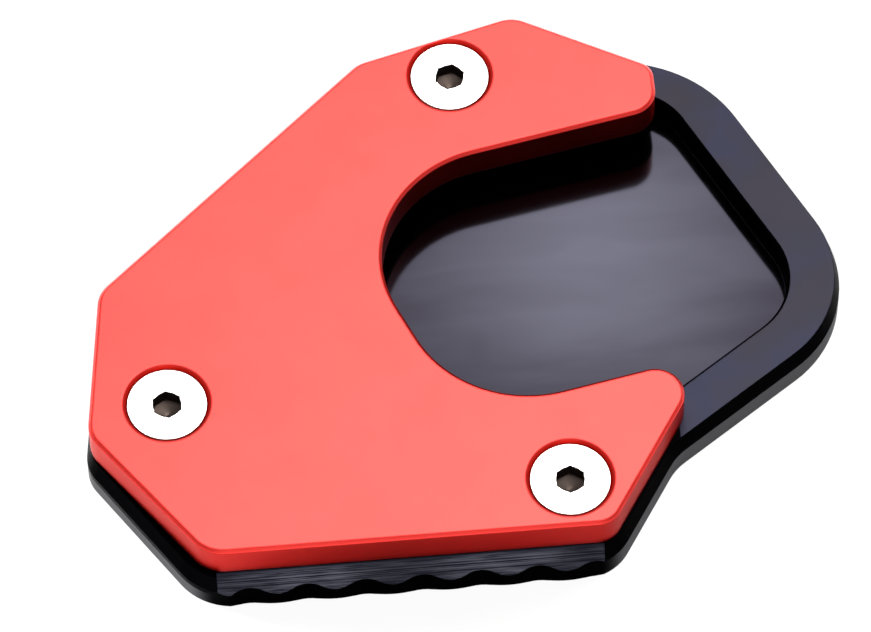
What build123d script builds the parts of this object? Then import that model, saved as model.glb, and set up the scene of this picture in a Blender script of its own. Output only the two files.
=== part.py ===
from build123d import *
import os

# Foot enlarger for a motorbike side stand. The stand's foot sits in a pocket in the base plate, and a
# clamp plate with a slot for the leg is screwed down over it.
# Millimetres. X runs along the wavy front edge, Y to the back, Z up from the ground.
# Corners in plan are given before rounding, by how far they lie to the left or right of one of the
# clamp plate's two front corners and how far back they lie from its front edge.

# Thicknesses
clamp_thickness = 6.2
base_thickness = 7.5
pocket_depth = 5.0

# Clamp plate, outer corners
front_length = 60.6
lobe_angle = 57.6
left_low_leftward = 16.3
left_low_back = 21.9
left_high_leftward = 13.2
left_high_back = 46.5
far_left_leftward = 31.4
far_left_back = 84.2
far_tip_leftward = 6.8
far_tip_back = 90.8
shoulder_rightward = 14.0
shoulder_back = 79.7
side_corner_radius = 5.0
front_left_radius = 6.0
front_right_radius = 4.0
lobe_tip_radius = 4.4
lobe_shoulder_radius = 3.0

# Clamp plate, slot for the stand's leg
slot_angle = 11.0
slot_low_leftward = 20.2
slot_low_back = 20.4
slot_high_leftward = 38.6
slot_high_back = 61.7
slot_corner_radius = 19.0

# Clamp plate, broken edges
clamp_edge_chamfer = 0.5
clamp_lower_chamfer = 0.2

# Base plate, how far its wall stands out from the clamp plate's wall
left_margin = 0.6
side_margin = 1.0
front_margin = 2.1
lobe_margin = 1.2

# Base plate, rim round the open side of the pocket
lobe_side_length = 20.7
rim_nose_rightward = 44.8
rim_nose_back = 38.8
rim_far_rightward = 23.1
rim_far_back = 81.3
rim_waist_radius = 9.0
rim_nose_radius = 19.2
rim_far_radius = 22.0
rim_low_width = 7.6
rim_far_width = 8.2

# Base plate, rounded corners
base_front_left_radius = 10.0
base_front_right_radius = 8.0
base_side_radius = 6.0

# Base plate, steep bevel at the top edge and broken edge at the ground
bevel_width = 0.85
bevel_depth = 3.0
ground_chamfer = 0.5

# Base plate, pocket for the stand's foot
foot_overlap = 8.0
pocket_rim_radius = 10.0
pocket_nose_radius = 11.5
pocket_end_radius = 12.0
pocket_edge_chamfer = 0.4

# Base plate, milled facet and wavy wall at the front
facet_depth = 4.0
facet_end_inset = 1.3
wave_count = 7
wave_depth = 0.65
wave_row_shift = 1.7

# Countersunk screws with a hexagon socket
screw_diameter = 6.0
head_diameter = 12.0
head_land = 0.15
head_sink = 0.5
socket_width = 4.1
socket_depth = 2.4
socket_point_depth = 0.7
socket_lead_in = 0.12
screw_end_chamfer = 0.8
head_angle = 90.0
socket_turns = [33.5, 25.5, 15.0]
left_screw_inset = 12.2
left_screw_rise = 4.3
right_screw_inset = 5.7
right_screw_rise = 8.1
far_screw_inset = 14.0
far_screw_drop = 3.5

# Clearances
seat_clearance = 0.05
thread_clearance = 0.05
shank_clearance = 0.25
screw_ground_clearance = 0.4


def moved_edge(start, end, gap):
    """The straight edge from start to end, moved by gap to its right-hand side."""
    sideways = (end - start).normalized().rotate(Axis.Z, -90) * gap
    return start + sideways, end + sideways


def corner(edge, other_edge):
    """The corner where two straight edges, or the lines they lie on, cross."""
    start, end = edge
    other_start, other_end = other_edge
    along = end - start
    other_along = other_end - other_start
    share = (other_start - start).cross(other_along).Z / along.cross(other_along).Z
    return start + along * share


# Clamp plate's corners
front_left = Vector(0, 0)
front_right = Vector(front_length, 0)
left_low = front_left + Vector(-left_low_leftward, left_low_back)
left_high = front_left + Vector(-left_high_leftward, left_high_back)
far_left = front_right + Vector(-far_left_leftward, far_left_back)
far_tip = front_right + Vector(-far_tip_leftward, far_tip_back)
shoulder = front_right + Vector(shoulder_rightward, shoulder_back)
slot_low = front_right + Vector(-slot_low_leftward, slot_low_back)
slot_high = front_right + Vector(-slot_high_leftward, slot_high_back)
lobe_direction = Vector(1, 0).rotate(Axis.Z, lobe_angle)
slot_direction = Vector(1, 0).rotate(Axis.Z, slot_angle)
slot_low_wall = (slot_low, slot_low + slot_direction)
slot_high_wall = (slot_high + slot_direction, slot_high)
slot_end_wall = (slot_high, slot_low)
lobe_tip = corner((front_right, front_right + lobe_direction), slot_low_wall)
shoulder_tip = corner((shoulder, shoulder - Vector(0, 1)), slot_high_wall)

# Base plate's corners: the clamp plate's edges moved out by the margins, then the rim
base_left_high = corner(
    moved_edge(far_left, left_high, side_margin), moved_edge(left_high, left_low, left_margin)
)
base_left_low = corner(
    moved_edge(left_high, left_low, left_margin), moved_edge(left_low, front_left, side_margin)
)
base_front_left = corner(
    moved_edge(left_low, front_left, front_margin), moved_edge(front_left, front_right, front_margin)
)
base_front_right = corner(
    moved_edge(front_left, front_right, front_margin), moved_edge(front_right, lobe_tip, lobe_margin)
)
rim_waist = base_front_right + lobe_direction * lobe_side_length
rim_nose = front_right + Vector(rim_nose_rightward, rim_nose_back)
rim_far = front_right + Vector(rim_far_rightward, rim_far_back)
base_far_tip = corner(
    moved_edge(shoulder, far_tip, side_margin), moved_edge(far_tip, far_left, side_margin)
)
base_far_left = corner(
    moved_edge(far_tip, far_left, side_margin), moved_edge(far_left, left_high, side_margin)
)

# Pocket's corners: the slot's walls moved out under the clamp plate, then the rim's walls moved in
pocket_high_wall = moved_edge(*slot_high_wall, foot_overlap)
pocket_end_wall = moved_edge(*slot_end_wall, foot_overlap)
pocket_low_wall = moved_edge(*slot_low_wall, foot_overlap)
pocket_rim_low_wall = moved_edge(rim_waist, rim_nose, -rim_low_width)
pocket_rim_far_wall = moved_edge(rim_nose, rim_far, -rim_far_width)
pocket_corners = [
    corner(pocket_high_wall, pocket_end_wall),
    corner(pocket_end_wall, pocket_low_wall),
    corner(pocket_low_wall, pocket_rim_low_wall),
    corner(pocket_rim_low_wall, pocket_rim_far_wall),
    corner(pocket_rim_far_wall, pocket_high_wall),
]

# Screws: places, and heights above the ground
screw_places = [
    left_low + Vector(left_screw_inset, left_screw_rise),
    front_right + Vector(-right_screw_inset, right_screw_rise),
    far_left + Vector(far_screw_inset, -far_screw_drop),
]
total_height = base_thickness + clamp_thickness
head_top = total_height - head_sink
cone_top = head_top - head_land
socket_floor = head_top - socket_depth

# Countersink: its cone runs along the head's cone, one seat clearance away
countersink_radius = head_diameter / 2 + head_sink + head_land + seat_clearance

# Front wave: the lines of its teeth, its middle and its hollows, its arcs, and its first and last hollow
tooth_line = -front_margin
wave_line = tooth_line + wave_depth / 2
hollow_line = tooth_line + wave_depth
wave_pitch = front_length / wave_count
wave_quarter = wave_pitch / 4
wave_radius = (wave_quarter**2 + (wave_depth / 2) ** 2) / wave_depth
end_reach = (wave_depth * (2 * wave_radius - wave_depth)) ** 0.5
first_hollow = front_length / 2 + wave_row_shift - (wave_count - 1) * wave_pitch / 2
last_hollow = first_hollow + (wave_count - 1) * wave_pitch

# Outline of the base plate, which is the outline of the whole part
with BuildSketch() as base_outline:
    with BuildLine():
        FilletPolyline(
            base_left_high,
            base_left_low,
            base_front_left,
            base_front_right,
            rim_waist,
            rim_nose,
            rim_far,
            base_far_tip,
            base_far_left,
            radius=[
                base_side_radius,
                base_side_radius,
                base_front_left_radius,
                base_front_right_radius,
                rim_waist_radius,
                rim_nose_radius,
                rim_far_radius,
                base_side_radius,
                base_side_radius,
            ],
            close=True,
        )
    make_face()

# Ground plane, set so that the outline's box is centred on the origin
outline_middle = base_outline.sketch.bounding_box().center()
ground = Plane(origin=(-outline_middle.X, -outline_middle.Y, 0))

# Base plate
with BuildPart() as base_plate:
    with BuildSketch(ground):
        add(base_outline.sketch)
    extrude(amount=base_thickness)

    # Steep bevel round the top edge, broken edge at the ground
    top_face = base_plate.faces().sort_by(Axis.Z)[-1]
    chamfer(top_face.edges(), length=bevel_width, length2=bevel_depth, reference=top_face)
    chamfer(base_plate.faces().sort_by(Axis.Z)[0].edges(), length=ground_chamfer)

    # Pocket for the stand's foot, open upwards through the clamp plate's slot
    with BuildSketch(ground.offset(base_thickness)):
        with BuildLine():
            FilletPolyline(
                *pocket_corners,
                radius=[
                    pocket_end_radius,
                    pocket_end_radius,
                    pocket_rim_radius,
                    pocket_nose_radius,
                    pocket_rim_radius,
                ],
                close=True,
            )
        make_face()
    extrude(amount=-pocket_depth, mode=Mode.SUBTRACT)
    pocket_mouth = base_plate.faces().filter_by(Axis.Z).sort_by(Axis.Z)[-1].inner_wires()
    chamfer(pocket_mouth.edges(), length=pocket_edge_chamfer)

    # Milled facet that slopes from the clamp plate's foot out to the front wall and stops short of the
    # front corners
    facet_section = Plane(
        origin=ground.from_local_coords(front_left + Vector(facet_end_inset, 0)),
        x_dir=(0, 1, 0),
        z_dir=(1, 0, 0),
    )
    with BuildSketch(facet_section):
        with BuildLine():
            Polyline(
                (0, base_thickness),
                (-2 * front_margin, base_thickness - 2 * facet_depth),
                (-2 * front_margin, base_thickness),
                close=True,
            )
        make_face()
    extrude(amount=front_length - 2 * facet_end_inset, mode=Mode.SUBTRACT)

    # Wavy front wall: round hollows and round teeth that run into each other, and an open hollow
    # at each end
    with BuildSketch(ground):
        with BuildLine():
            for hollow in range(wave_count):
                hollow_x = first_hollow + hollow * wave_pitch
                ThreePointArc(
                    (hollow_x - wave_quarter, wave_line),
                    (hollow_x, hollow_line),
                    (hollow_x + wave_quarter, wave_line),
                )
            for tooth in range(wave_count - 1):
                tooth_x = first_hollow + (tooth + 0.5) * wave_pitch
                ThreePointArc(
                    (tooth_x - wave_quarter, wave_line),
                    (tooth_x, tooth_line),
                    (tooth_x + wave_quarter, wave_line),
                )
            wave_start = (first_hollow - wave_quarter, wave_line)
            wave_end = (last_hollow + wave_quarter, wave_line)
            open_start = RadiusArc(wave_start, (first_hollow - end_reach, tooth_line), -wave_radius)
            open_end = RadiusArc(wave_end, (last_hollow + end_reach, tooth_line), wave_radius)
            Polyline(
                open_start @ 1,
                (first_hollow - end_reach, 2 * tooth_line),
                (last_hollow + end_reach, 2 * tooth_line),
                open_end @ 1,
            )
        make_face()
    extrude(amount=base_thickness, mode=Mode.SUBTRACT)

    # Threaded holes, drawn plain, right through under the screws
    with BuildSketch(ground):
        with Locations(*screw_places):
            Circle(screw_diameter / 2 + thread_clearance)
    extrude(amount=base_thickness, mode=Mode.SUBTRACT)

# Clamp plate
with BuildPart() as clamp_plate:
    with BuildSketch(ground.offset(base_thickness)):
        with BuildLine():
            FilletPolyline(
                left_high,
                left_low,
                front_left,
                front_right,
                lobe_tip,
                slot_low,
                slot_high,
                shoulder_tip,
                shoulder,
                far_tip,
                far_left,
                radius=[
                    side_corner_radius,
                    side_corner_radius,
                    front_left_radius,
                    front_right_radius,
                    lobe_tip_radius,
                    slot_corner_radius,
                    slot_corner_radius,
                    lobe_tip_radius,
                    lobe_shoulder_radius,
                    side_corner_radius,
                    side_corner_radius,
                ],
                close=True,
            )
        make_face()
    extrude(amount=clamp_thickness)
    chamfer(clamp_plate.faces().sort_by(Axis.Z)[-1].edges(), length=clamp_edge_chamfer)
    chamfer(clamp_plate.faces().sort_by(Axis.Z)[0].edges(), length=clamp_lower_chamfer)

    # Countersunk holes, as deep as the heads sit below the top
    clamp_top = ground.offset(total_height)
    with Locations(*[clamp_top * Pos(place) for place in screw_places]):
        CounterSinkHole(
            radius=screw_diameter / 2 + shank_clearance,
            counter_sink_radius=countersink_radius,
            counter_sink_angle=head_angle,
        )

# One screw, standing at the origin with the top of its head at its seated height
with BuildPart() as one_screw:
    with BuildSketch(Plane.XZ):
        with BuildLine():
            Polyline(
                (0, head_top),
                (head_diameter / 2, head_top),
                (head_diameter / 2, cone_top),
                (screw_diameter / 2, cone_top - (head_diameter - screw_diameter) / 2),
                (screw_diameter / 2, screw_ground_clearance + screw_end_chamfer),
                (screw_diameter / 2 - screw_end_chamfer, screw_ground_clearance),
                (0, screw_ground_clearance),
                close=True,
            )
        make_face()
    revolve(axis=Axis.Z)

    # Hexagon socket with a lead-in at its mouth and the shallow cone that its drill leaves
    with BuildSketch(Plane.XY.offset(head_top)):
        RegularPolygon(radius=socket_width / 2, side_count=6, major_radius=False)
    extrude(amount=-socket_depth, mode=Mode.SUBTRACT)
    with BuildSketch(Plane.XZ):
        with BuildLine():
            Polyline(
                (0, head_top),
                (socket_width / 2 + socket_lead_in, head_top),
                (socket_width / 2, head_top - socket_lead_in),
                (socket_width / 2, socket_floor),
                (0, socket_floor - socket_point_depth),
                close=True,
            )
        make_face()
    revolve(axis=Axis.Z, mode=Mode.SUBTRACT)

# All the screws, each turned as it was tightened
with BuildPart() as countersunk_screws:
    with Locations(*[ground * Pos(place) * Rot(Z=turn) for place, turn in zip(screw_places, socket_turns)]):
        add(one_screw.part)

os.makedirs("parts", exist_ok=True)
base_plate.part.label = "base_plate"
clamp_plate.part.label = "clamp_plate"
countersunk_screws.part.label = "countersunk_screws"
export_step(base_plate.part, "parts/base_plate.step")
export_step(clamp_plate.part, "parts/clamp_plate.step")
export_step(countersunk_screws.part, "parts/countersunk_screws.step")
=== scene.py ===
import math

import bpy
from mathutils import Matrix, Vector


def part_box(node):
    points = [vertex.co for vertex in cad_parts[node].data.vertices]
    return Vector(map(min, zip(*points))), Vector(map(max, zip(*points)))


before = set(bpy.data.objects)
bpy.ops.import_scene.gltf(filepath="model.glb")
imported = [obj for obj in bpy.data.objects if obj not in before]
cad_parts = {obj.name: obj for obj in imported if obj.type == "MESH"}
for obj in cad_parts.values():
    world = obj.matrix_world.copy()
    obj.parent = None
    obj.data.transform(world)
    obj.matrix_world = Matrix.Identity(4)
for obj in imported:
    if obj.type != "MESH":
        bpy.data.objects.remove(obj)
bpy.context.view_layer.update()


# Base plate. The wide sole that stands on the ground, milled from aluminium and anodised black.
# It holds the pocket for the stand's foot, and its front has a sloping facet, still showing the
# cutter's lines, that runs out into a wavy wall.
base_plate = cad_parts["base_plate"]
base_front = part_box("base_plate")[0][1]
base_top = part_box("base_plate")[1][2]
dyed_black = (0.001, 0.001, 0.0013)
black_edge_tint = (0.5, 0.5, 0.5, 1)
black_edge_radius = 0.00025
black_edge_samples = 6
level_facing = 0.9  # least Z of the normal on a level face
upright_facing = 0.1  # most Z of the normal on an upright wall
noise_range = (0.3, 0.7)  # where nearly all values of a noise lie

# Outer walls: grey up to a line that is lower on the left, darker in front and behind, black at the waves.
# The lower line on the left, the darker front and back and the black at the waves are painted shade.
wall_top = 0.0046
left_wall_top = 0.0033
left_facing = (-0.5, -0.2)  # X of the normal, from the left side to the rest
front_facing = (-0.5, 0.0)  # Y of the normal, from the front to the sides
back_facing = (0.1, 0.4)  # Y of the normal, from the sides to the back
wave_zone = 0.0006  # depth behind the front where the walls stay black
wave_fade = 0.0030  # depth behind the front where they are fully grey
wall_grey = (0.165, 0.165, 0.175)
front_wall_share = 0.65
back_wall_share = 0.30
wall_roughness = (0.36, 0.42)

# Rim: black with a blue cast in clouds, and painted shade, plain black, on the narrow strip round the
# clamp plate's front.
strip_right = 0.031
strip_back = -0.010
rim_plain = (0.0200, 0.0188, 0.0244)
rim_blue = (0.0215, 0.0220, 0.0350)
rim_cloud_range = (0.4, 0.6)
rim_roughness = (0.44, 0.50)

# Pocket: a smooth floor with a painted highlight, palest to the right where it mirrors the soft box, and
# faint streaks askew from the cutter's last pass.
pocket_floor_height = 0.0025
pocket_floor_margin = 0.001
pocket_middle = Vector((0.0119, 0.0028, 0))
floor_highlight_spot = Vector((0.021, 0.009, pocket_floor_height))
floor_highlight_reach = 0.038
floor_dark = (0.0080, 0.0074, 0.0100)
floor_pale = (0.0213, 0.0207, 0.0270)
floor_roughness = (0.09, 0.12)
streak_turn = math.radians(28)
streaks_per_metre = (30, 130, 0)  # along and across the streaks
streak_detail = 4.0
streak_warp = 0.6
streak_paleness = (-0.12, 0.12)

# Facet: bright lines along it, stronger and weaker in broad bands, and shade under the clamp plate.
facet_fall = 0.0040
facet_run = 0.0021
facet_normal = Vector((0, -facet_fall, facet_run)).normalized()
facet_likeness = 0.995  # least cosine between a normal and the facet's own
facet_line_spacing = 0.00022
facet_line_length = 0.006
facet_line_range = (0.38, 0.70)
facet_line_depth = 0.00004
facet_line_strength = 0.5
facet_band_middle = 0.00185
facet_band_pitch = 0.0287
facet_band_share = (0.45, 1.15)
facet_shade_drop = 0.0008  # how far the shade reaches down
facet_shade_share = 0.25  # what the shade leaves of the lines at the top
facet_dark = (0.006, 0.006, 0.010)
facet_bright = (0.077, 0.079, 0.100)
facet_roughness = (0.30, 0.50)


def feed(tree, node, inputs):
    """Links or sets the inputs of a node that are given, by name or number."""
    for name, value in inputs.items():
        if isinstance(value, bpy.types.NodeSocket):
            tree.links.new(value, node.inputs[name])
        else:
            node.inputs[name].default_value = value


def put(tree, kind, inputs=None, **settings):
    """Adds a shader node with its settings, and feeds the inputs that are given."""
    made = tree.nodes.new(kind)
    for name, value in settings.items():
        setattr(made, name, value)
    feed(tree, made, inputs or {})
    return made


def split(tree, vector):
    """The X, Y and Z sockets of a vector."""
    return put(tree, "ShaderNodeSeparateXYZ", {"Vector": vector}).outputs


def reckon(tree, operation, *values):
    """The result of a Math node on sockets or numbers."""
    return put(tree, "ShaderNodeMath", dict(enumerate(values)), operation=operation).outputs[0]


def product(tree, first, *others):
    """Sockets or numbers multiplied together."""
    for other in others:
        first = reckon(tree, "MULTIPLY", first, other)
    return first


def reckon_vector(tree, operation, *values):
    """The result of a Vector Math node on sockets or vectors: a number for a dot product or a distance."""
    made = put(tree, "ShaderNodeVectorMath", dict(enumerate(values)), operation=operation)
    return made.outputs["Value" if operation in ("DOT_PRODUCT", "DISTANCE") else "Vector"]


def ramp(tree, value, source, target):
    """A value spread smoothly from a source range onto a target range, held at both ends."""
    inputs = {
        "Value": value,
        "From Min": source[0],
        "From Max": source[1],
        "To Min": target[0],
        "To Max": target[1],
    }
    return put(tree, "ShaderNodeMapRange", inputs, interpolation_type="SMOOTHSTEP").outputs["Result"]


def blend(tree, share, first, second):
    """Two numbers mixed by a share."""
    inputs = {"Factor": share, "A": first, "B": second}
    return put(tree, "ShaderNodeMix", inputs, data_type="FLOAT").outputs["Result"]


def blend_colours(tree, share, first, second):
    """Two colours mixed by a share."""
    made = put(tree, "ShaderNodeMix", {"Factor": share}, data_type="RGBA")
    sockets = {socket.identifier: socket for socket in (*made.inputs, *made.outputs)}
    for place, colour in (("A_Color", first), ("B_Color", second)):
        if isinstance(colour, bpy.types.NodeSocket):
            tree.links.new(colour, sockets[place])
        else:
            sockets[place].default_value = (*colour, 1)
    return sockets["Result_Color"]


def outward_aim(tree, place, normal):
    """Above 0 on a wall that faces away from the pocket's middle, below 0 on one that faces it."""
    from_middle = reckon_vector(tree, "SUBTRACT", place, pocket_middle)
    return reckon_vector(tree, "DOT_PRODUCT", normal, from_middle)


def rounded_normal(tree, radius, samples):
    """The surface's normal with its edges softened to a small radius."""
    return put(tree, "ShaderNodeBevel", {"Radius": radius}, samples=samples).outputs["Normal"]


def new_group(name, inputs, outputs):
    """An empty shader node group with named number sockets, and its input and output nodes."""
    tree = bpy.data.node_groups.new(name, "ShaderNodeTree")
    for title, value in inputs.items():
        socket = tree.interface.new_socket(title, in_out="INPUT", socket_type="NodeSocketFloat")
        socket.default_value = value
    for title in outputs:
        tree.interface.new_socket(title, in_out="OUTPUT", socket_type="NodeSocketFloat")
    return tree, tree.nodes.new("NodeGroupInput"), tree.nodes.new("NodeGroupOutput")


def new_material(name):
    """A new material, its node tree and its Principled shader."""
    material = bpy.data.materials.new(name)
    material.use_nodes = True
    return material, material.node_tree, material.node_tree.nodes["Principled BSDF"]


# Lines that a cutter leaves: fine ridges side by side, which fade in and out along its path.
line_detail = 2.0
fade_drift = 0.35  # how fast the fading changes from line to line
fade_share = 0.4  # the fading's share of the height
cutter_lines, lines_in, lines_out = new_group(
    "cutter lines", {"Across": 0, "Along": 0, "Spacing": 0.0004, "Length": 0.005}, ["Height"]
)
lines_across = reckon(cutter_lines, "DIVIDE", lines_in.outputs["Across"], lines_in.outputs["Spacing"])
fades_along = reckon(cutter_lines, "DIVIDE", lines_in.outputs["Along"], lines_in.outputs["Length"])
ridges = put(
    cutter_lines,
    "ShaderNodeTexNoise",
    {"W": lines_across, "Scale": 1.0, "Detail": line_detail},
    noise_dimensions="1D",
)
fade_place = put(cutter_lines, "ShaderNodeCombineXYZ", {
    "X": reckon(cutter_lines, "MULTIPLY", lines_across, fade_drift),
    "Y": fades_along,
})
fading = put(cutter_lines, "ShaderNodeTexNoise", {
    "Vector": fade_place.outputs["Vector"],
    "Scale": 1.0,
    "Detail": line_detail,
})
line_height = blend(cutter_lines, fade_share, ridges.outputs["Fac"], fading.outputs["Fac"])
feed(cutter_lines, lines_out, {"Height": line_height})

# Clouds in the anodic film: faint wide patches where it took up more dye.
cloud_size = 0.012
cloud_detail = 4.0
film_clouds, clouds_in, clouds_out = new_group("film clouds", {"Size": cloud_size}, ["Cloud"])
cloud_noise = put(film_clouds, "ShaderNodeTexNoise", {
    "Vector": put(film_clouds, "ShaderNodeTexCoord").outputs["Object"],
    "Scale": reckon(film_clouds, "DIVIDE", 1.0, clouds_in.outputs["Size"]),
    "Detail": cloud_detail,
})
feed(film_clouds, clouds_out, {"Cloud": cloud_noise.outputs["Fac"]})

black_anodised, black_tree, black_film = new_material("black_anodised_aluminium")
black_coordinates = put(black_tree, "ShaderNodeTexCoord")
black_place = black_coordinates.outputs["Object"]
black_normal = black_coordinates.outputs["Normal"]
black_x, black_y, black_z = split(black_tree, black_place)
facing_x, facing_y, facing_z = split(black_tree, black_normal)
black_cloud = put(black_tree, "ShaderNodeGroup", node_tree=film_clouds).outputs["Cloud"]

# Where a point lies on the base plate.
facet_aim = reckon_vector(black_tree, "DOT_PRODUCT", black_normal, facet_normal)
on_facet = reckon(black_tree, "GREATER_THAN", facet_aim, facet_likeness)
on_level = reckon(black_tree, "GREATER_THAN", facing_z, level_facing)
below_rim = reckon(black_tree, "LESS_THAN", black_z, pocket_floor_height + pocket_floor_margin)
on_floor = product(black_tree, on_level, below_rim)
left_of_strip_end = reckon(black_tree, "LESS_THAN", black_x, strip_right)
ahead_of_strip_back = reckon(black_tree, "LESS_THAN", black_y, strip_back)
on_shaded_strip = product(black_tree, left_of_strip_end, ahead_of_strip_back)
upright = reckon(black_tree, "LESS_THAN", reckon(black_tree, "ABSOLUTE", facing_z), upright_facing)
outward = reckon(black_tree, "GREATER_THAN", outward_aim(black_tree, black_place, black_normal), 0)
# The grey ends lower on the left, with painted shade above it.
grey_top = ramp(black_tree, facing_x, left_facing, (left_wall_top, wall_top))
low_down = reckon(black_tree, "LESS_THAN", black_z, grey_top)
on_wall = product(black_tree, upright, outward, low_down)

# Walls: grey, with painted shade above a lower line on the left, in front, behind and at the waves.
behind_wave = ramp(black_tree, black_y, (base_front + wave_zone, base_front + wave_fade), (0, 1))
front_painted_shade = ramp(black_tree, facing_y, front_facing, (front_wall_share, 1))
back_painted_shade = ramp(black_tree, facing_y, back_facing, (1, back_wall_share))
grey_share = product(black_tree, on_wall, behind_wave, front_painted_shade, back_painted_shade)
wall_grey_and_painted_shade = blend_colours(black_tree, grey_share, dyed_black, wall_grey)
rough_wall = ramp(black_tree, black_cloud, noise_range, wall_roughness)

# Rim: blue clouds, and painted shade on the strip round the clamp plate's front.
blue_share = ramp(black_tree, black_cloud, rim_cloud_range, (0, 1))
cloudy_dye = blend_colours(black_tree, blue_share, rim_plain, rim_blue)
rim_dye_and_painted_shade = blend_colours(black_tree, on_shaded_strip, cloudy_dye, dyed_black)
rough_rim = ramp(black_tree, black_cloud, noise_range, rim_roughness)

# Pocket floor: streaks, and a painted highlight round the palest spot.
streak_place = put(black_tree, "ShaderNodeMapping", {
    "Vector": black_place,
    "Rotation": (0, 0, -streak_turn),
    "Scale": streaks_per_metre,
})
streaks = put(black_tree, "ShaderNodeTexNoise", {
    "Vector": streak_place.outputs["Vector"],
    "Scale": 1.0,
    "Detail": streak_detail,
    "Distortion": streak_warp,
}).outputs["Fac"]
pale_distance = reckon_vector(black_tree, "DISTANCE", black_place, floor_highlight_spot)
painted_highlight_share = ramp(black_tree, pale_distance, (0, floor_highlight_reach), (1, 0))
streak_share = ramp(black_tree, streaks, noise_range, streak_paleness)
pale_share = reckon(black_tree, "ADD", painted_highlight_share, streak_share)
floor_dye_and_painted_highlight = blend_colours(black_tree, pale_share, floor_dark, floor_pale)
rough_floor = ramp(black_tree, streaks, noise_range, floor_roughness)

# Facet.
facet_lines = put(black_tree, "ShaderNodeGroup", {
    "Across": black_z,
    "Along": black_x,
    "Spacing": facet_line_spacing,
    "Length": facet_line_length,
}, node_tree=cutter_lines).outputs["Height"]
line_share = ramp(black_tree, facet_lines, facet_line_range, (0, 1))
from_band = reckon(black_tree, "SUBTRACT", black_x, facet_band_middle)
band_turn = reckon(black_tree, "MULTIPLY", from_band, 2 * math.pi / facet_band_pitch)
band_share = ramp(black_tree, reckon(black_tree, "COSINE", band_turn), (-1, 1), facet_band_share)
open_share = ramp(black_tree, black_z, (base_top - facet_shade_drop, base_top), (1, facet_shade_share))
bright_share = product(black_tree, line_share, band_share, open_share)
facet_dye = blend_colours(black_tree, bright_share, facet_dark, facet_bright)
rough_facet = ramp(black_tree, facet_lines, noise_range, facet_roughness)
facet_bump = put(black_tree, "ShaderNodeBump", {
    "Height": product(black_tree, on_facet, facet_lines),
    "Strength": facet_line_strength,
    "Distance": facet_line_depth,
    "Normal": rounded_normal(black_tree, black_edge_radius, black_edge_samples),
})

level_dye = blend_colours(black_tree, on_floor, rim_dye_and_painted_shade, floor_dye_and_painted_highlight)
plain_dye = blend_colours(black_tree, on_level, wall_grey_and_painted_shade, level_dye)
rough_level = blend(black_tree, on_floor, rough_rim, rough_floor)
rough_plain = blend(black_tree, on_level, rough_wall, rough_level)
feed(black_tree, black_film, {
    "Metallic": 1.0,
    "Specular Tint": black_edge_tint,
    "Base Color": blend_colours(black_tree, on_facet, plain_dye, facet_dye),
    "Roughness": blend(black_tree, on_facet, rough_plain, rough_facet),
    "Normal": facet_bump.outputs["Normal"],
})
base_plate.material_slots[0].material = black_anodised


# Clamp plate. Aluminium, milled with a slot for the stand's leg and a broken edge all round, and
# anodised a bright red. It lies on the base plate and holds the stand's foot down in the pocket.
clamp_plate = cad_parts["clamp_plate"]
clamp_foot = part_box("clamp_plate")[0][2]
foot_shade_rise = 0.0016  # how far up from the base plate the walls are shaded
foot_shade_share = 0.6
red_thin = (0.66, 0.013, 0.0075)
red_thick = (0.72, 0.019, 0.012)
# The walls are painted darker than the top, and the slot's walls darker still: painted shade.
red_wall_shaded = (0.41, 0.0065, 0.0042)
red_slot_shaded = (0.25, 0.0032, 0.002)
# Painted shade at the clamp plate's foot and round the heads.
red_painted_crevice_shade = (0.16, 0.002, 0.001)
red_edge_tint = (1.0, 0.6, 0.58, 1)
red_edge_radius = 0.0004
red_edge_samples = 8
red_roughness = (0.40, 0.46)
wall_facing = (0.2, 0.5)  # Z of the normal, from the walls to the top
coat_facing = (0.3, 0.7)  # Z of the normal, from little sheen to full sheen
coat_weight = (0.2, 1.0)
coat_roughness = 0.32
coat_index = 1.36

# Round each head painted shade darkens the film where the countersink's mouth stands open, and the film
# has no sheen there.
screw_axes = [
    Vector((-0.04566, -0.01854, 0)),
    Vector((0.00164, 0.03596, 0)),
    Vector((0.01334, -0.03664, 0)),
]
head_reach = 0.0060
ring_reach = 0.0064
coat_reach = 0.0066

# Distance from the axis of the nearest screw, for what is round about the screws.
screw_distance, _, distance_out = new_group("screw distance", {}, ["Distance"])
distance_place = put(screw_distance, "ShaderNodeTexCoord").outputs["Object"]
flat_place = reckon_vector(screw_distance, "MULTIPLY", distance_place, (1, 1, 0))
nearest, *others = [reckon_vector(screw_distance, "DISTANCE", flat_place, axis) for axis in screw_axes]
for other in others:
    nearest = reckon(screw_distance, "MINIMUM", nearest, other)
feed(screw_distance, distance_out, {"Distance": nearest})

red_anodised, red_tree, red_film = new_material("red_anodised_aluminium")
red_coordinates = put(red_tree, "ShaderNodeTexCoord")
red_place = red_coordinates.outputs["Object"]
red_normal = red_coordinates.outputs["Normal"]
red_height = split(red_tree, red_place)["Z"]
red_facing = split(red_tree, red_normal)["Z"]
red_cloud = put(red_tree, "ShaderNodeGroup", node_tree=film_clouds).outputs["Cloud"]
red_from_screw = put(red_tree, "ShaderNodeGroup", node_tree=screw_distance).outputs["Distance"]
thick_share = ramp(red_tree, red_cloud, noise_range, (0, 1))
red_top_dye = blend_colours(red_tree, thick_share, red_thin, red_thick)
# Painted shade: darker walls, darkest in the slot.
in_slot = reckon(red_tree, "LESS_THAN", outward_aim(red_tree, red_place, red_normal), 0)
red_wall_painted_shade = blend_colours(red_tree, in_slot, red_wall_shaded, red_slot_shaded)
wall_share = ramp(red_tree, red_facing, wall_facing, (1, 0))
red_dye_and_painted_shade = blend_colours(red_tree, wall_share, red_top_dye, red_wall_painted_shade)
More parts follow.
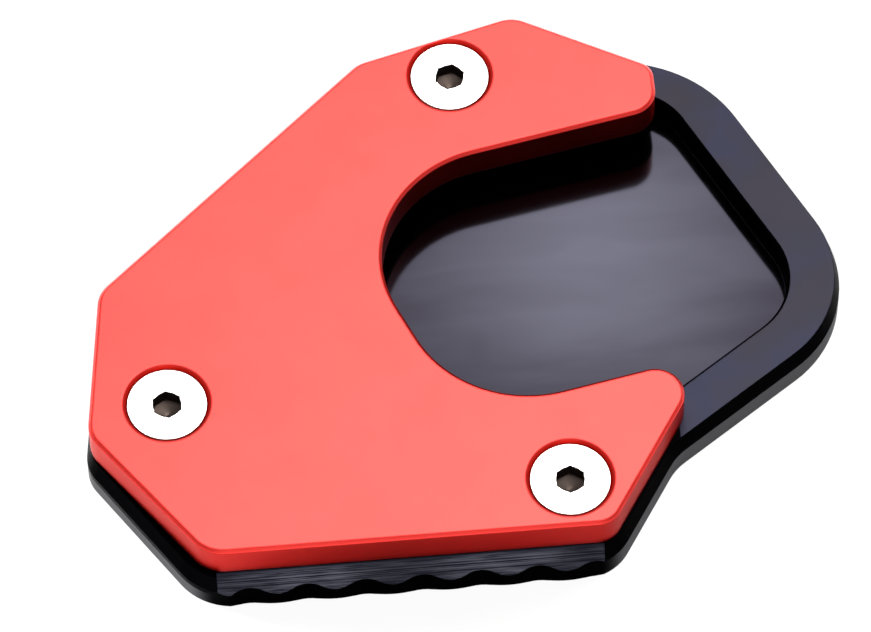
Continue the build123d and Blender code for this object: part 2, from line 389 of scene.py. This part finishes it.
# Painted shade at the foot and round each head.
ring_share = ramp(red_tree, red_from_screw, (head_reach, ring_reach), (1, 0))
foot_share = ramp(red_tree, red_height, (clamp_foot, clamp_foot + foot_shade_rise), (foot_shade_share, 0))
painted_shade_share = reckon(red_tree, "MAXIMUM", ring_share, foot_share)
facing_coat = ramp(red_tree, red_facing, coat_facing, coat_weight)
clear_of_head = ramp(red_tree, red_from_screw, (ring_reach, coat_reach), (0, 1))
red_rounded = rounded_normal(red_tree, red_edge_radius, red_edge_samples)
feed(red_tree, red_film, {
    "Metallic": 1.0,
    "Specular Tint": red_edge_tint,
    "Base Color": blend_colours(red_tree, painted_shade_share, red_dye_and_painted_shade, red_painted_crevice_shade),
    "Roughness": ramp(red_tree, red_cloud, noise_range, red_roughness),
    "Normal": red_rounded,
    "Coat Weight": product(red_tree, facing_coat, clear_of_head),
    "Coat Roughness": coat_roughness,
    "Coat IOR": coat_index,
    "Coat Normal": red_rounded,
})
clamp_plate.material_slots[0].material = red_anodised


# Screws. Three countersunk screws of steel, each with a hexagon socket in a head that is turned
# bright. They pull the clamp plate down onto the base plate.
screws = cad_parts["countersunk_screws"]
head_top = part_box("countersunk_screws")[1][2]
socket_reach = 0.00239
socket_mouth_drop = 0.00002
# The sockets are painted dark brown: painted shade inside the recess.
socket_painted_shade = (0.068, 0.051, 0.044)
socket_roughness = 0.45
ring_spacing = 0.00012
steel_plain = (0.55, 0.55, 0.55)
steel_pale = (0.64, 0.64, 0.63)
steel_roughness = (0.20, 0.30)
steel_edge_radius = 0.00014
steel_edge_samples = 6

bright_steel, steel_tree, steel = new_material("bright_steel")
steel_height = split(steel_tree, put(steel_tree, "ShaderNodeTexCoord").outputs["Object"])["Z"]
from_axis = put(steel_tree, "ShaderNodeGroup", node_tree=screw_distance).outputs["Distance"]
# Painted shade fills each socket below its mouth.
near_axis = reckon(steel_tree, "LESS_THAN", from_axis, socket_reach)
below_mouth = reckon(steel_tree, "LESS_THAN", steel_height, head_top - socket_mouth_drop)
in_socket = product(steel_tree, near_axis, below_mouth)
turned_rings = put(
    steel_tree, "ShaderNodeGroup", {"Across": from_axis, "Spacing": ring_spacing}, node_tree=cutter_lines
).outputs["Height"]
turned_steel = blend_colours(steel_tree, turned_rings, steel_plain, steel_pale)
rough_turned = ramp(steel_tree, turned_rings, noise_range, steel_roughness)
feed(steel_tree, steel, {
    "Metallic": 1.0,
    "Base Color": blend_colours(steel_tree, in_socket, turned_steel, socket_painted_shade),
    "Roughness": blend(steel_tree, in_socket, rough_turned, socket_roughness),
    "Normal": rounded_normal(steel_tree, steel_edge_radius, steel_edge_samples),
})
screws.material_slots[0].material = bright_steel


# Floor: a plain white table top, wide enough to fill the view. It looks paler to the camera than to
# the object, so that only a trace of the object's shadow is seen on it.
floor_width = 6.0
floor_gap = 0.0001
table_grey = (0.5, 0.5, 0.5, 1)
table_roughness = 0.9
table_specular = 0.1
table_glow_colour = (1, 1, 1, 1)
table_glow_strength = 1.05
table_glow_share = 0.9
bpy.ops.object.select_all(action="DESELECT")
bpy.ops.mesh.primitive_plane_add(size=floor_width, location=(0, 0, -floor_gap))
floor = bpy.context.object
floor.name = "floor"
white_table, table_tree, table_paint = new_material("white_table")
feed(table_tree, table_paint, {
    "Base Color": table_grey,
    "Roughness": table_roughness,
    "Specular IOR Level": table_specular,
})
table_glow = put(table_tree, "ShaderNodeEmission", {
    "Color": table_glow_colour,
    "Strength": table_glow_strength,
})
seen_ray = put(table_tree, "ShaderNodeLightPath").outputs["Is Camera Ray"]
table_mix = put(table_tree, "ShaderNodeMixShader", {
    0: product(table_tree, seen_ray, table_glow_share),
    1: table_paint.outputs["BSDF"],
    2: table_glow.outputs["Emission"],
})
feed(table_tree, table_tree.nodes["Material Output"], {"Surface": table_mix.outputs["Shader"]})
floor.data.materials.append(white_table)


# Camera: where the photograph was taken from, with a long lens, looking down on the front edge.
# The target is a point in the middle of the view, and the angles turn the camera round it.
view_target = Vector((-0.00423, -0.00674, 0.0132))
view_distance = 0.95189
view_elevation = math.radians(59.316)
view_turn = math.radians(4.46)
view_roll = math.radians(-0.547)
camera_data = bpy.data.cameras.new("camera")
camera_data.sensor_width = 36
camera_data.lens = 260.27
camera_data.clip_start = 0.05
camera_data.clip_end = 20
camera = bpy.data.objects.new("camera", camera_data)
camera.matrix_world = (
    Matrix.Translation(view_target)
    @ Matrix.Rotation(-view_turn, 4, "Z")
    @ Matrix.Rotation(math.pi / 2 - view_elevation, 4, "X")
    @ Matrix.Rotation(view_roll, 4, "Z")
    @ Matrix.Translation((0, 0, view_distance))
)
bpy.context.scene.collection.objects.link(camera)
bpy.context.scene.camera = camera


# Studio light: a soft box behind the object, which the level faces mirror to the camera, and a weak one
# in front that only the broken edges mirror. Two low lamps behind light the table on either side,
# which the upright walls mirror, and the room gives the rest.
room_colour = (1, 1, 1, 1)
room_strength = 0.60


def soft_box(name, azimuth, elevation, distance, width, radiance):
    """A square area light round the object, aimed at it. Azimuth 0 is behind it, 90 to its right."""
    data = bpy.data.lights.new(name, "AREA")
    data.shape = "SQUARE"
    data.size = width
    data.energy = radiance * math.pi * width**2
    lamp = bpy.data.objects.new(name, data)
    lamp.matrix_world = (
        Matrix.Rotation(-math.radians(azimuth), 4, "Z")
        @ Matrix.Rotation(math.radians(elevation - 90), 4, "X")
        @ Matrix.Translation((0, 0, distance))
    )
    bpy.context.scene.collection.objects.link(lamp)
    return lamp


mirrored_lamps = [
    soft_box("back_soft_box", azimuth=27, elevation=70.5, distance=1.2, width=0.75, radiance=8.8),
    soft_box("front_soft_box", azimuth=180, elevation=14, distance=1.3, width=0.8, radiance=1.5),
]
table_lamps = [
    soft_box("left_table_light", azimuth=-60, elevation=25, distance=1.3, width=0.5, radiance=150.0),
    soft_box("right_table_light", azimuth=65, elevation=25, distance=1.3, width=0.5, radiance=60.0),
]
for lamp in mirrored_lamps:
    lamp.visible_diffuse = False
for lamp in table_lamps:
    lamp.visible_glossy = False
room = bpy.data.worlds.new("room")
room.use_nodes = True
room_light = room.node_tree.nodes["Background"]
feed(room.node_tree, room_light, {"Color": room_colour, "Strength": room_strength})
bpy.context.scene.world = room
bpy.context.scene.view_settings.view_transform = "Standard"
